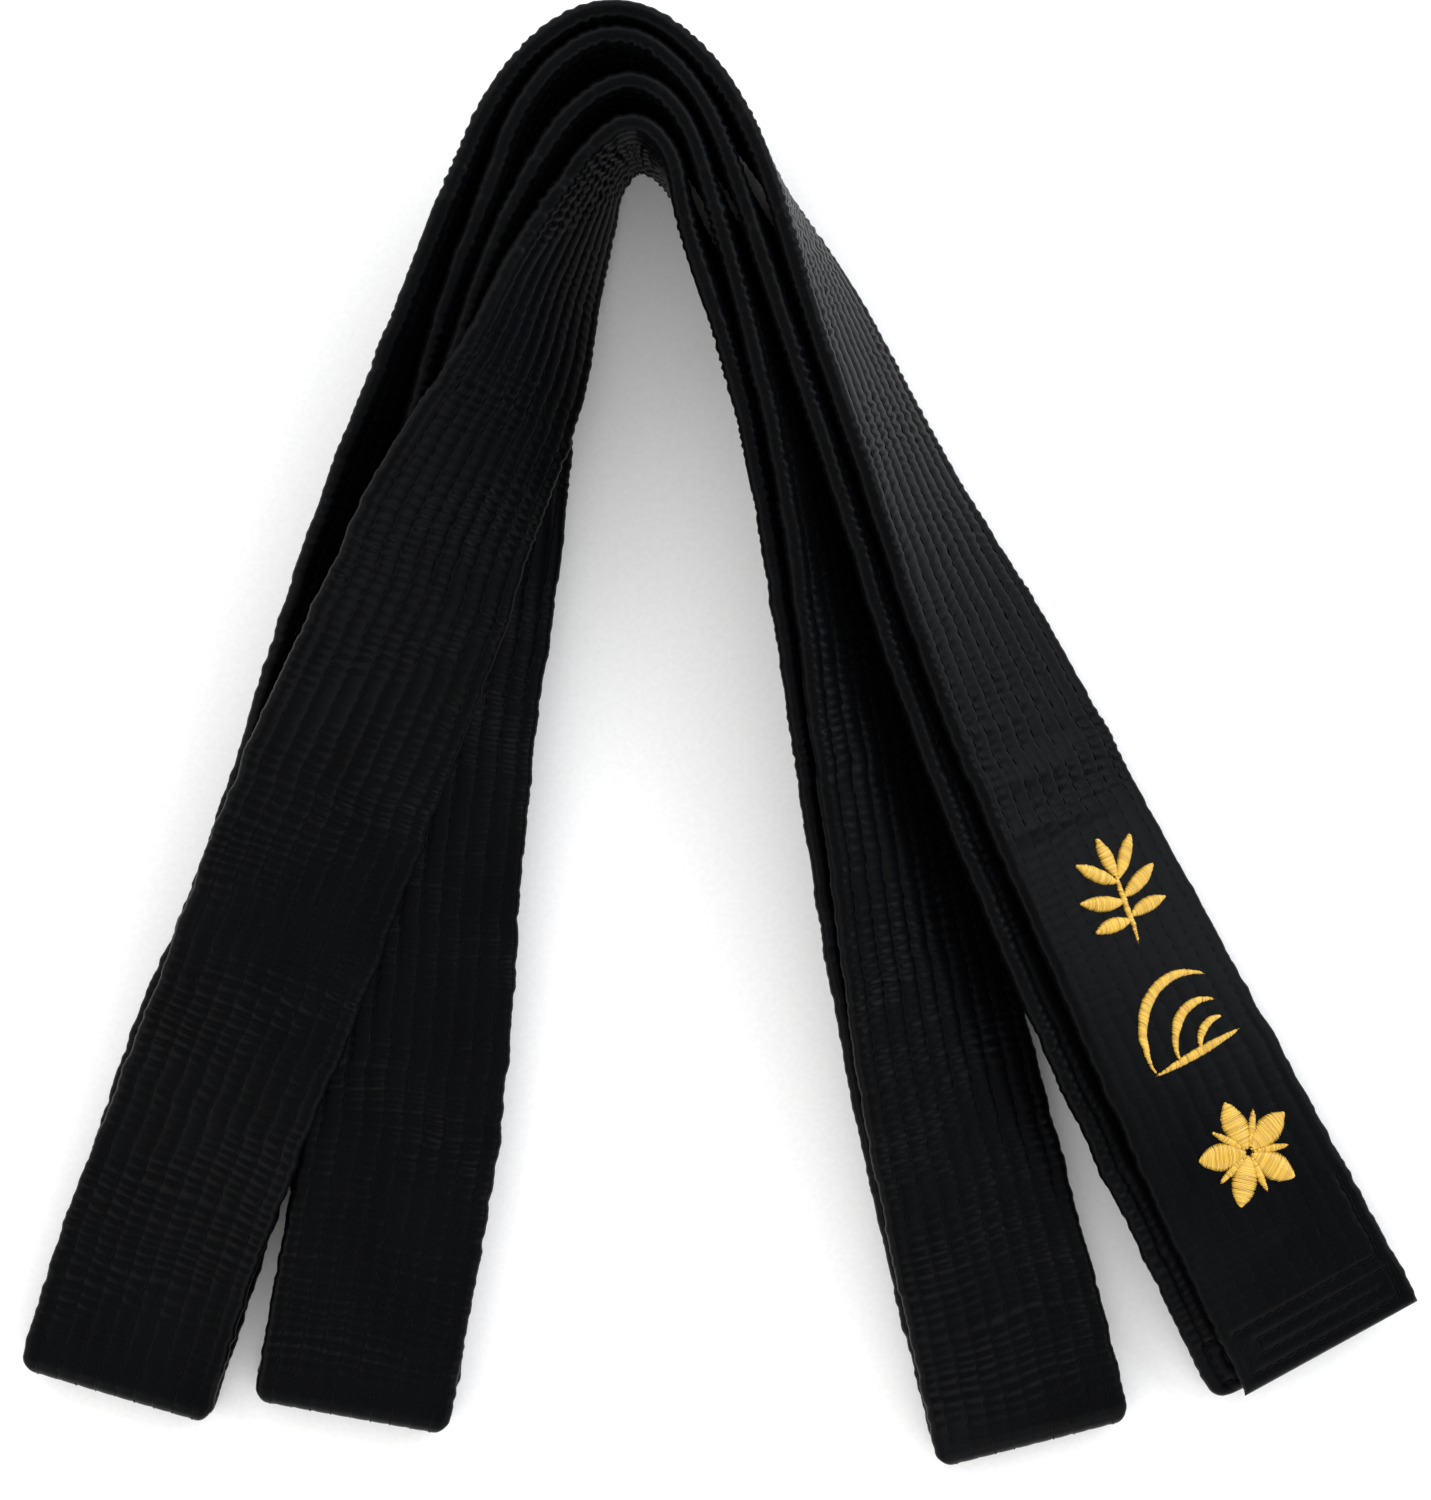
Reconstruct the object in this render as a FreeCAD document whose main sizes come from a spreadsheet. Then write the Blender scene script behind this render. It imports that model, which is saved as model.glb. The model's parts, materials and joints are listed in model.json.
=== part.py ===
"""Martial arts belt: a quilted satin belt, folded in half twice and laid on a table in an arch.

Folding the belt twice makes four strands, numbered from the outside of the arch to the inside.
They stand on edge over the top of the arch and twist until they lie flat at the legs.
Strands 1 and 4 are joined by the left outer fold, 2 and 3 by the left inner fold,
3 and 4 by the right fold.  Strands 1 and 2 run out into the embroidered end and the plain end.
Each strand is a satin cover round a canvas wrap round a felt core.
Millimetres, +X east, +Y north towards the top of the arch, +Z up, the table at Z = 0.
"""

import FreeCAD, Part
import math
import os

import Sketcher
from FreeCAD import Matrix, Placement, Rotation, Vector

UP = Vector(0, 0, 1)

# Driving dimensions, in millimetres, degrees or plain numbers.
SIZES = {
    "belt_width": 45.0,
    "belt_thickness": 4.4,
    "cover_cloth": 0.5,
    "canvas_cloth": 0.6,
    "layer_gap": 0.15,
    "fold_gap": 0.6,
    "hinge_gap": 0.4,
    "end_hem": 2.0,
    "section_spacing": 22.0,
    "section_turn": 18.0,
    "stitch_pitch": 3.6,
    "stitch_margin": 3.4,
    "stitch_lead": 21.0,
    "stitch_diameter": 0.8,
    "ornament_size": 25.0,
    "ornament_offset": 2.6,
    "ornament_height": 0.9,
    "stroke_depth": 6.0,
    "table_size": 400.0,
    "table_thickness": 10.0,
    "origin_east": 0.2,
    "origin_north": -0.2,
}

# Stations of each strand, from its left end to its right end: east and north of its middle,
# its lean, and the height of its lowest edge.  Lean 0 lies flat with the inner face up,
# 90 stands on edge, 180 lies flat with the outer face up.  Strand 1 is pressed onto the table by
# its own weight at the left outer fold, so it starts a little below the table's surface.
STATIONS = {
    1: [
        (-136.4, -143.2, 0, -0.12), (-129.4, -121.8, 0, -0.12), (-122.2, -100, 0.5, -0.05),
        (-113.6, -74, 3, 0.2), (-102, -47, 8, 0.4), (-85, 3, 24, 0), (-73.9, 45, 43, 0),
        (-60.6, 93, 64, 0), (-50.2, 129.3, 77, 0), (-38.2, 150.6, 81, 0), (-22, 158.3, 82, 0),
        (-5.5, 151.2, 87, 0), (9.6, 131, 93, 0), (23.4, 103.2, 106, 0), (40.7, 64, 117, 0),
        (61.9, 19, 135, 0.5), (83.2, -25, 145, 1.5), (105.6, -70, 156, 2.7), (128, -114, 170, 4.2),
        (139.6, -136, 177, 4.3),
    ],
    2: [
        (-83, -148, 0, 0), (-76.3, -110, 6, 0), (-71.8, -80, 8.5, 0), (-69.1, -45, 10, 0.2),
        (-64.4, 10, 22, 0.3), (-58.8, 45, 37, 0), (-53.6, 75, 52, 0), (-49.4, 100, 64, 0),
        (-44.7, 121.2, 74, 0), (-35.9, 143.5, 79, 0), (-22, 152.5, 81, 0), (-8, 145.3, 86, 0),
        (4.6, 125.4, 93, 0), (18.1, 99, 106, 0), (34.5, 62, 117, 0), (55, 17, 135, 0),
        (75.5, -28, 145, 0), (98.5, -74, 156, 0), (121.8, -117, 170, 0), (133.2, -139.4, 178, 0),
    ],
    3: [
        (-83, -148, 0, 5), (-75.8, -110, 6, 4.9), (-71, -80, 8.5, 4.9), (-68, -45, 10, 5.1),
        (-61.4, 12, 22, 5.5), (-53.7, 47, 37, 4.2), (-47.5, 77, 52, 2.5), (-42.2, 104, 65, 1),
        (-35.2, 125.8, 75, 0), (-28.1, 138, 81, 0), (-18.8, 143.5, 84, 0), (-9.7, 138.4, 87, 0),
        (-2.6, 126.6, 92, 0), (2.8, 114.7, 97, 0), (13.4, 93, 110, 1.2), (26.3, 55, 124, 2.7),
        (35.7, 14, 137, 3.5), (43.4, -29, 144, 4.1), (52, -74, 156, 4.7), (62.8, -120, 168, 5.2),
        (71, -154, 180, 5.2),
    ],
    4: [
        (-136.4, -143.2, 0, 4.88), (-121.6, -100, -4, 8.2), (-110, -72, -6, 12.5),
        (-98.6, -44, 2, 17.5), (-83.8, -7, 16, 17.3), (-65.8, 34, 31, 17.5), (-56.2, 57, 41, 15.8),
        (-47.4, 74, 50, 12.8), (-40.9, 90, 59, 9), (-36.3, 105, 67, 5), (-29.6, 121, 77, 0.8),
        (-25.3, 130.1, 83, 0), (-18.3, 135, 86, 0), (-11.3, 130.4, 89, 0), (-7.3, 120.8, 93, 0),
        (-2.6, 109.5, 98, 0), (8.2, 90, 110, 0), (21.3, 54, 124, 0), (31.7, 12, 137, 0),
        (39.8, -30, 144, 0), (50, -74, 156, 0), (61.8, -120, 168, 0), (71, -154, 180, 0),
    ],
}

# Where the free lengths bend: the strand that is uppermost there, and the place on it.
HINGES = {
    "left_outer_fold": (4, Vector(-121, -100, 0)),
    "left_inner_fold": (3, Vector(-76.2, -112, 0)),
    "right_fold": (3, Vector(59, -104, 0)),
    "plain_end": (1, Vector(65, 12, 0)),
    "embroidered_end": (1, Vector(79.5, -17, 0)),
}


def petals(reach, bulge, first):
    """Five strokes out from the middle of an ornament, the first at an angle in degrees."""
    strokes = []
    for petal in range(5):
        turn = math.radians(first + 72 * petal)
        east, north = math.cos(turn), math.sin(turn)
        strokes.append((0.03 * east, 0.03 * north, reach * east, reach * north, bulge, bulge))
    return strokes


# The three embroidered ornaments: how far each one's centre is from the tip of the embroidered
# end, and its strokes.  A stroke runs between two points and has a bulge to its left and one to
# its right, all as shares of ornament_size; a negative bulge makes it a crescent.
ORNAMENTS = {
    "leaf_sprig_ornament": (115.4, [
        (-0.07, -0.50, 0.05, 0.22, 0.030, 0.030),
        (0.04, 0.12, 0.02, 0.52, 0.080, 0.080),
        (0.03, 0.10, 0.40, 0.42, 0.060, 0.080),
        (0.03, 0.08, -0.34, 0.40, 0.080, 0.060),
        (0.00, -0.06, 0.49, 0.08, 0.060, 0.085),
        (0.00, -0.10, -0.47, 0.08, 0.085, 0.060),
        (-0.03, -0.24, 0.43, -0.24, 0.080, 0.055),
        (-0.03, -0.28, -0.45, -0.22, 0.055, 0.080),
    ]),
    "wave_ornament": (84.4, [
        (-0.50, -0.38, 0.50, -0.38, 0.040, 0.045),
        (-0.47, -0.38, 0.44, 0.20, 0.460, -0.350),
        (-0.20, -0.38, 0.40, -0.04, 0.270, -0.175),
        (0.04, -0.38, 0.38, -0.20, 0.130, -0.050),
    ]),
    "blossom_ornament": (49.4, [*petals(0.50, 0.125, 90), *petals(0.40, 0.035, 54)]),
}

doc = FreeCAD.newDocument("martial_arts_belt")


def make_sheet():
    """The spreadsheet of driving dimensions, one alias to a row."""
    sheet = doc.addObject("Spreadsheet::Sheet", "sizes")
    for row, (alias, value) in enumerate(SIZES.items(), start=1):
        sheet.set(f"A{row}", alias)
        sheet.set(f"B{row}", str(value))
        sheet.setAlias(f"B{row}", alias)
    doc.recompute()
    return sheet


sizes = make_sheet()

# Each surface of the layers: its depth below the belt's outer surface, and how far it ends before
# a tip, which the cover closes with a hem.
OUTER_SURFACE = ("0", 0.0)
COVER_INSIDE = ("sizes.cover_cloth", sizes.end_hem)
CANVAS_OUTSIDE = ("(sizes.cover_cloth + sizes.layer_gap)", sizes.end_hem + sizes.layer_gap)
CANVAS_INSIDE = (
    "(sizes.cover_cloth + sizes.layer_gap + sizes.canvas_cloth)",
    sizes.end_hem + sizes.layer_gap + sizes.canvas_cloth,
)
FELT_OUTSIDE = (
    "(sizes.cover_cloth + sizes.canvas_cloth + 2 * sizes.layer_gap)",
    sizes.end_hem + sizes.canvas_cloth + 2 * sizes.layer_gap,
)
LAYERS = {
    "satin_cover": (OUTER_SURFACE, COVER_INSIDE),
    "canvas_wrap": (CANVAS_OUTSIDE, CANVAS_INSIDE),
    "felt_core": (FELT_OUTSIDE, None),
}


class Strand:
    """The middle line of one strand, with its lean, as smooth curves through its stations."""

    def __init__(self, stations):
        points = []
        for east, north, lean, lowest in stations:
            angle = math.radians(lean)
            on_edge = abs(math.sin(angle)) * sizes.belt_width / 2
            on_face = abs(math.cos(angle)) * sizes.belt_thickness / 2
            points.append(Vector(east, north, lowest + on_edge + on_face))
        places = [0.0]
        for before, after in zip(points, points[1:]):
            step = after - before
            places.append(places[-1] + math.hypot(step.x, step.y))
        self.length = places[-1]
        self.line = Part.BSplineCurve()
        self.line.interpolate(Points=points, Parameters=places)
        leans = [Vector(station[2], place, 0) for station, place in zip(stations, places)]
        self.leans = Part.BSplineCurve()
        self.leans.interpolate(Points=leans, Parameters=places)

    def heading(self, place):
        """The level direction in which the strand runs."""
        along = self.line.tangent(place)[0]
        return Vector(along.x, along.y, 0).normalize()

    def width_direction(self, place, heading):
        """From the strand's lower edge towards its upper edge."""
        lean = math.radians(self.leans.value(place).x)
        left = Vector(-heading.y, heading.x, 0)
        return left * math.cos(lean) + UP * math.sin(lean)

    def placement(self, place, heading=None):
        """A section's frame: X across the width, Y through the thickness, Z along the strand."""
        heading = heading or self.heading(place)
        return frame(self.line.value(place), self.width_direction(place, heading), heading)

    def nearest(self, point):
        """The place that is nearest to a point, seen from above."""
        steps = [self.length * step / 2000 for step in range(2001)]
        return min(steps, key=lambda step: self.level_gap(step, point))

    def level_gap(self, place, point):
        gap = self.line.value(place) - point
        return math.hypot(gap.x, gap.y)

    def crossing(self, plane, guess):
        """The place where the strand passes through an upright plane, near a guess."""
        point, heading = plane
        low, high = max(0.0, guess - 40), min(self.length, guess + 40)
        side = (self.line.value(low) - point).dot(heading) > 0
        for _ in range(60):
            middle = (low + high) / 2
            if ((self.line.value(middle) - point).dot(heading) > 0) == side:
                low = middle
            else:
                high = middle
        return (low + high) / 2

    def sections(self, start, end):
        """Places between start and end, closer together where the strand turns."""
        fine = 200
        places = [start + (end - start) * step / fine for step in range(fine + 1)]
        measure = [0.0]
        for before, after in zip(places, places[1:]):
            turning = math.degrees(self.heading(before).getAngle(self.heading(after)))
            run = (after - before) / sizes.section_spacing
            measure.append(measure[-1] + run + turning / sizes.section_turn)
        count = max(1, round(measure[-1]))
        chosen = []
        for step in range(1, count):
            wanted = measure[-1] * step / count
            after = next(i for i, value in enumerate(measure) if value > wanted)
            share = (wanted - measure[after - 1]) / (measure[after] - measure[after - 1])
            chosen.append(places[after - 1] + share * (end - start) / fine)
        return chosen


def frame(point, across, along):
    """A placement at a point whose X axis runs across and whose Z axis runs along."""
    through = along.cross(across)
    return Placement(Matrix(
        across.x, through.x, along.x, point.x,
        across.y, through.y, along.y, point.y,
        across.z, through.z, along.z, point.z,
        0, 0, 0, 1,
    ))


def origin_plane(body):
    return next(f for f in body.Origin.OriginFeatures if f.Role == "XY_Plane")


def new_sketch(body, place):
    """A sketch of the body, set on its base plane and moved to a place."""
    sketch = body.newObject("Sketcher::SketchObject", "section")
    sketch.AttachmentSupport = [(origin_plane(body), "")]
    sketch.MapMode = "FlatFace"
    sketch.AttachmentOffset = place
    return sketch


def belt_section(body, place, depth, offset="0"):
    """The belt's section: a flat strip with round edges, a depth below the outer surface.

    The offset moves it along the sketch's Y axis, away from the axis of a fold.
    """
    sketch = new_sketch(body, place)
    half = (sizes.belt_width - sizes.belt_thickness) / 2
    radius = sizes.belt_thickness / 2
    quarter = math.pi / 2
    right = Part.Circle(Vector(half, 0, 0), UP, radius)
    left = Part.Circle(Vector(-half, 0, 0), UP, radius)
    sketch.addGeometry([
        Part.LineSegment(Vector(-half, -radius, 0), Vector(half, -radius, 0)),
        Part.LineSegment(Vector(half, radius, 0), Vector(-half, radius, 0)),
        Part.ArcOfCircle(right, -quarter, quarter),
        Part.ArcOfCircle(left, quarter, 3 * quarter),
    ])
    constraint = Sketcher.Constraint
    sketch.addConstraint([
        constraint("Tangent", 0, 2, 2, 1),
        constraint("Tangent", 2, 2, 1, 1),
        constraint("Tangent", 1, 2, 3, 1),
        constraint("Tangent", 3, 2, 0, 1),
        constraint("Horizontal", 0),
        constraint("Equal", 2, 3),
    ])
    radius_at = sketch.addConstraint(constraint("Radius", 2, radius))
    east_at = sketch.addConstraint(constraint("DistanceX", -1, 1, 2, 3, half))
    west_at = sketch.addConstraint(constraint("DistanceX", 3, 3, -1, 1, half))
    height_at = sketch.addConstraint(constraint("DistanceY", -1, 1, 2, 3, 0))
    reach = "(sizes.belt_width - sizes.belt_thickness) / 2"
    sketch.setExpression(f"Constraints[{radius_at}]", f"sizes.belt_thickness / 2 - {depth}")
    sketch.setExpression(f"Constraints[{east_at}]", reach)
    sketch.setExpression(f"Constraints[{west_at}]", reach)
    sketch.setExpression(f"Constraints[{height_at}]", offset)
    return sketch


def loft(body, kind, sketches):
    feature = body.newObject(kind, "run")
    feature.Profile = sketches[0]
    feature.Sections = sketches[1:]
    return feature


def turn(body, kind, sketch):
    """The hairpin of a fold: half a turn of the belt's section about the fold's axis."""
    feature = body.newObject(kind, "hairpin")
    feature.Profile = sketch
    feature.ReferenceAxis = (sketch, ["H_Axis"])
    feature.Angle = 180
    return feature


def move_to_origin(body):
    """Sets the middle of the whole belt's outline, seen from above, over the origin."""
    body.setExpression("Placement.Base.x", "-sizes.origin_east")
    body.setExpression("Placement.Base.y", "-sizes.origin_north")


FOLD_RADIUS = "(sizes.belt_thickness + sizes.fold_gap) / 2"


class Stretch:
    """One stretch of belt: runs along its strands, and the hairpin that joins two of them."""

    def __init__(self, name, runs, fold=None):
        self.name = name
        self.runs = runs
        self.fold = fold

    def add(self, body, depth, before_tip, cut=False):
        """Adds the stretch's outline at a depth to the body, or cuts it away."""
        lofts = "PartDesign::SubtractiveLoft" if cut else "PartDesign::AdditiveLoft"
        turns = "PartDesign::Groove" if cut else "PartDesign::Revolution"
        for run in self.runs:
            loft(body, lofts, [belt_section(body, place, depth) for place in run(before_tip)])
        if self.fold:
            turn(body, turns, belt_section(body, self.fold, depth, FOLD_RADIUS))

    def layers(self):
        """The cover, the wrap and the core, each a body of its own."""
        for layer, (outside, inside) in LAYERS.items():
            body = doc.addObject("PartDesign::Body", f"{self.name}_{layer}")
            body.Label = f"{self.name}_{layer}"
            self.add(body, *outside)
            if inside:
                self.add(body, *inside, cut=True)
            move_to_origin(body)
            pieces.append(body)


strands = {number: Strand(stations) for number, stations in STATIONS.items()}
pieces = []


def hinge_plane(name, shift=0.0):
    """The upright plane of a hinge, moved along the belt by a shift."""
    number, point = HINGES[name]
    strand = strands[number]
    place = strand.nearest(point)
    heading = strand.heading(place)
    return strand.line.value(place) + heading * shift, heading


def cut_place(number, name, shift):
    """Where a strand is cut at a hinge, and the heading of the cut."""
    plane = hinge_plane(name, shift)
    strand = strands[number]
    return strand.crossing(plane, strand.nearest(plane[0])), plane[1]


def run_between(number, start, end, to_tip=False):
    """A run of one strand between two cuts, each a place and a heading; the end can be a tip."""
    strand = strands[number]

    def places(before_tip):
        last = end[0] - (before_tip if to_tip else 0)
        middle = strand.sections(start[0], last)
        return (
            [strand.placement(start[0], start[1])]
            + [strand.placement(place) for place in middle]
            + [strand.placement(last, end[1])]
        )

    return places


def fold_end(number, heading, at_start):
    """The end of a strand at a hairpin, with the heading that both of its strands share."""
    return (0.0 if at_start else strands[number].length, heading)


def fold_axis(low_number, heading, at_start):
    """The frame of a hairpin's axis: Y towards its lower strand, Z out of the end of the leg."""
    strand = strands[low_number]
    place = 0.0 if at_start else strand.length
    radius = (sizes.belt_thickness + sizes.fold_gap) / 2
    across = strand.width_direction(place, heading)
    outwards = heading * -1 if at_start else heading
    return frame(strand.line.value(place) + UP * radius, across, outwards)


def top_of_arch(number):
    """The place where a strand passes the top of the arch, and its heading there."""
    strand = strands[number]
    steps = [strand.length * step / 2000 for step in range(2001)]
    place = max(steps, key=lambda step: strand.line.value(step).y)
    return place, strand.heading(place)


def shared_heading(first, second, at_start):
    """The mean heading of two strands at the hairpin that joins them."""
    total = Vector(0, 0, 0)
    for number in (first, second):
        total += strands[number].heading(0.0 if at_start else strands[number].length)
    return total.normalize()


def make_stretches():
    """Every stretch of the belt, from cut to cut."""
    gap = sizes.hinge_gap / 2
    outer_heading = shared_heading(1, 4, True)
    inner_heading = shared_heading(2, 3, True)
    right_heading = shared_heading(3, 4, False)
    arch_cuts = {
        1: ("left_outer_fold", "plain_end"),
        2: ("left_inner_fold", "plain_end"),
        3: ("left_inner_fold", "right_fold"),
        4: ("left_outer_fold", "right_fold"),
    }
    for number, (left, right) in arch_cuts.items():
        top = top_of_arch(number)
        yield Stretch(f"arch_strand_{number}", [
            run_between(number, cut_place(number, left, gap), top),
            run_between(number, top, cut_place(number, right, -gap)),
        ])
    yield Stretch("left_outer_fold", [
        run_between(1, fold_end(1, outer_heading, True), cut_place(1, "left_outer_fold", -gap)),
        run_between(4, fold_end(4, outer_heading, True), cut_place(4, "left_outer_fold", -gap)),
    ], fold_axis(1, outer_heading, True))
    yield Stretch("left_inner_fold", [
        run_between(2, fold_end(2, inner_heading, True), cut_place(2, "left_inner_fold", -gap)),
        run_between(3, fold_end(3, inner_heading, True), cut_place(3, "left_inner_fold", -gap)),
    ], fold_axis(2, inner_heading, True))
    yield Stretch("right_fold", [
        run_between(3, cut_place(3, "right_fold", gap), fold_end(3, right_heading, False)),
        run_between(4, cut_place(4, "right_fold", gap), fold_end(4, right_heading, False)),
    ], fold_axis(4, right_heading, False))
    plain_tip = (strands[2].length, strands[2].heading(strands[2].length))
    yield Stretch("plain_end", [
        run_between(2, cut_place(2, "plain_end", gap), plain_tip, to_tip=True),
    ])
    yield Stretch("upper_tail", [
        run_between(1, cut_place(1, "plain_end", gap), cut_place(1, "embroidered_end", -gap)),
    ])
    embroidered_tip = (strands[1].length, strands[1].heading(strands[1].length))
    yield Stretch("embroidered_end", [
        run_between(1, cut_place(1, "embroidered_end", gap), embroidered_tip, to_tip=True),
    ])


def tail_point(before_tip, across):
    """The frame of a point on the embroidered end's upper face.

    X runs towards the outer edge, Y up the belt towards the arch and Z out of the face.
    """
    section = strands[1].placement(strands[1].length - before_tip)
    rise = Placement(Vector(-across, -sizes.belt_thickness / 2, 0), Rotation(UP, 180))
    return section * rise * Placement(Vector(), Rotation(Vector(1, 0, 0), -90))


def tail_form(label, depth):
    """The outline of the embroidered end at a depth, to shape what is sewn on it."""
    body = doc.addObject("PartDesign::Body", label)
    stretches["embroidered_end"].add(body, depth, 0.0)
    move_to_origin(body)
    return body


def arc_between(start, end, bulge):
    """A circular arc from end back to start, with a bulge to the left of the way from start."""
    chord = end - start
    left = Vector(-chord.y, chord.x, 0).normalize()
    radius = (chord.Length ** 2 / 4 + bulge ** 2) / (2 * bulge)
    centre = (start + end) / 2 + left * (bulge - radius)
    angles = [math.atan2((point - centre).y, (point - centre).x) for point in (end, start)]
    return Part.ArcOfCircle(Part.Circle(centre, UP, radius), *angles)


def stroke_sketch(body, place, stroke):
    """A stroke's outline: an arc to each side, meeting at the stroke's two points."""
    start = Vector(stroke[0], stroke[1], 0)
    end = Vector(stroke[2], stroke[3], 0)
    size = sizes.ornament_size
    sketch = new_sketch(body, place)
    constraint = Sketcher.Constraint
    tips = []
    for bulge in (stroke[4], -stroke[5]):
        first, last = (start, end) if bulge > 0 else (end, start)
        arc = arc_between(first * size, last * size, abs(bulge) * size)
        number = sketch.addGeometry(arc)
        radius_at = sketch.addConstraint(constraint("Radius", number, arc.Radius))
        share = arc.Radius / size
        sketch.setExpression(f"Constraints[{radius_at}]", f"sizes.ornament_size * {share:.5f}")
        tips.append((number, 2, number, 1) if bulge > 0 else (number, 1, number, 2))
    sketch.addConstraint(constraint("Coincident", *tips[0][:2], *tips[1][:2]))
    sketch.addConstraint(constraint("Coincident", *tips[0][2:], *tips[1][2:]))
    for vertex, point in ((tips[0][:2], start), (tips[0][2:], end)):
        for kind, share in (("DistanceX", point.x), ("DistanceY", point.y)):
            at = sketch.addConstraint(constraint(kind, -1, 1, *vertex, share * size))
            sketch.setExpression(f"Constraints[{at}]", f"sizes.ornament_size * {share:.5f}")
    return sketch


def trimmed(label, raised):
    """What is sewn on the embroidered end, cut off where it meets the belt's face."""
    piece = doc.addObject("Part::Cut", label)
    piece.Base = raised
    piece.Tool = tail
    pieces.append(piece)


def make_ornament(label, before_tip, strokes):
    """An ornament: its strokes, at an even height over the face."""
    body = doc.addObject("PartDesign::Body", f"{label}_strokes")
    place = tail_point(before_tip, sizes.ornament_offset)
    place.Base -= place.Rotation.multVec(UP) * (sizes.stroke_depth / 2)
    for stroke in strokes:
        pad = body.newObject("PartDesign::Pad", "stroke")
        pad.Profile = stroke_sketch(body, place, stroke)
        pad.setExpression("Length", "sizes.stroke_depth")
    move_to_origin(body)
    level = doc.addObject("Part::Common", f"{label}_level")
    level.Base = body
    level.Tool = raised_tail
    trimmed(label, level)


def make_end_stitching():
    """The thread that closes the embroidered end: a squared spiral in from its edges."""
    pitch = sizes.stitch_pitch
    side = sizes.belt_width / 2 - sizes.stitch_margin
    first = sizes.stitch_margin
    route = [
        (first + 3 * pitch + sizes.stitch_lead, -side),
        (first + 3 * pitch, -side),
        (first + 3 * pitch, side),
        (first, side),
        (first, -side),
        (first + 2 * pitch, -side),
        (first + 2 * pitch, side - pitch),
        (first + pitch, side - pitch),
        (first + pitch, pitch - side),
    ]
    points = [tail_point(*step).Base for step in route]
    thread = doc.addObject("Part::MultiFuse", "end_thread")
    lengths = []
    for start, end in zip(points, points[1:]):
        length = doc.addObject("Part::Cylinder", "stitch_row")
        length.setExpression("Radius", "sizes.stitch_diameter / 2")
        length.Height = (end - start).Length
        length.Placement = Placement(start, Rotation(UP, end - start))
        lengths.append(length)
    for point in points:
        corner = doc.addObject("Part::Sphere", "stitch_corner")
        corner.setExpression("Radius", "sizes.stitch_diameter / 2")
        corner.Placement = Placement(point, Rotation())
        lengths.append(corner)
    thread.Shapes = lengths
    for item in lengths:
        item.Placement.Base -= Vector(sizes.origin_east, sizes.origin_north, 0)
    trimmed("embroidered_end_stitching", thread)


stretches = {stretch.name: stretch for stretch in make_stretches()}
tail = tail_form("tail_form", "0")
raised_tail = tail_form("raised_tail_form", "-sizes.ornament_height")


def press_on_table(label):
    """Flattens the underside of a cover where it is pressed onto the table."""
    cover = next(piece for piece in pieces if piece.Label == label)
    cover.Label = f"{label}_unpressed"
    table = doc.addObject("Part::Box", "table")
    table.setExpression("Length", "sizes.table_size")
    table.setExpression("Width", "sizes.table_size")
    table.setExpression("Height", "sizes.table_thickness")
    table.setExpression("Placement.Base.x", "-sizes.table_size / 2")
    table.setExpression("Placement.Base.y", "-sizes.table_size / 2")
    table.setExpression("Placement.Base.z", "-sizes.table_thickness")
    pressed = doc.addObject("Part::Cut", "pressed_cover")
    pressed.Label = label
    pressed.Base = cover
    pressed.Tool = table
    pieces[pieces.index(cover)] = pressed


def check_document():
    """Stops the build if any object failed or any piece isn't one sound solid or more."""
    doc.recompute()
    for item in doc.Objects:
        if {"Invalid", "Error"} & set(item.State):
            raise RuntimeError(f"{item.Label} failed: {item.State}")
    for piece in pieces:
        if piece.Shape.isNull() or not piece.Shape.isValid() or piece.Shape.Volume <= 0:
            raise RuntimeError(f"{piece.Label} has no sound shape")


def print_hinges():
    """Each hinge's axis, on the upper face of its uppermost strand."""
    shift = Vector(sizes.origin_east, sizes.origin_north, 0)
    for name, (number, _) in HINGES.items():
        strand = strands[number]
        place, heading = cut_place(number, name, 0.0)
        across = strand.width_direction(place, heading)
        through = heading.cross(across)
        outward = through if through.z > 0 else through * -1
        point = strand.line.value(place) + outward * (sizes.belt_thickness / 2) - shift
        print(name, [round(v, 2) for v in point], [round(v, 5) for v in across])


def main():
    for stretch in stretches.values():
        stretch.layers()
    press_on_table("left_outer_fold_satin_cover")
    for label, (before_tip, strokes) in ORNAMENTS.items():
        make_ornament(label, before_tip, strokes)
    make_end_stitching()
    check_document()
    print_hinges()
    os.makedirs("parts", exist_ok=True)
    box = FreeCAD.BoundBox()
    for piece in pieces:
        box.add(piece.Shape.BoundBox)
        piece.Shape.exportStep(f"parts/{piece.Label}.step")
        print(f"{piece.Label}: {piece.Shape.Volume:.0f} mm3, {len(piece.Shape.Solids)} solid(s)")
    print(box)


main()
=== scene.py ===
"""Looks of the martial arts belt: quilted black satin, folded in half twice and laid in an arch.

The belt is one long ribbon.  It starts at the embroidered tip, runs back along strand 1, turns
at the left outer fold into strand 4, at the right fold into strand 3, at the left inner fold
into strand 2, and ends at the plain tip.  Lengths are in millimetres until a mesh is made.
"""

import json
import math

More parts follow.
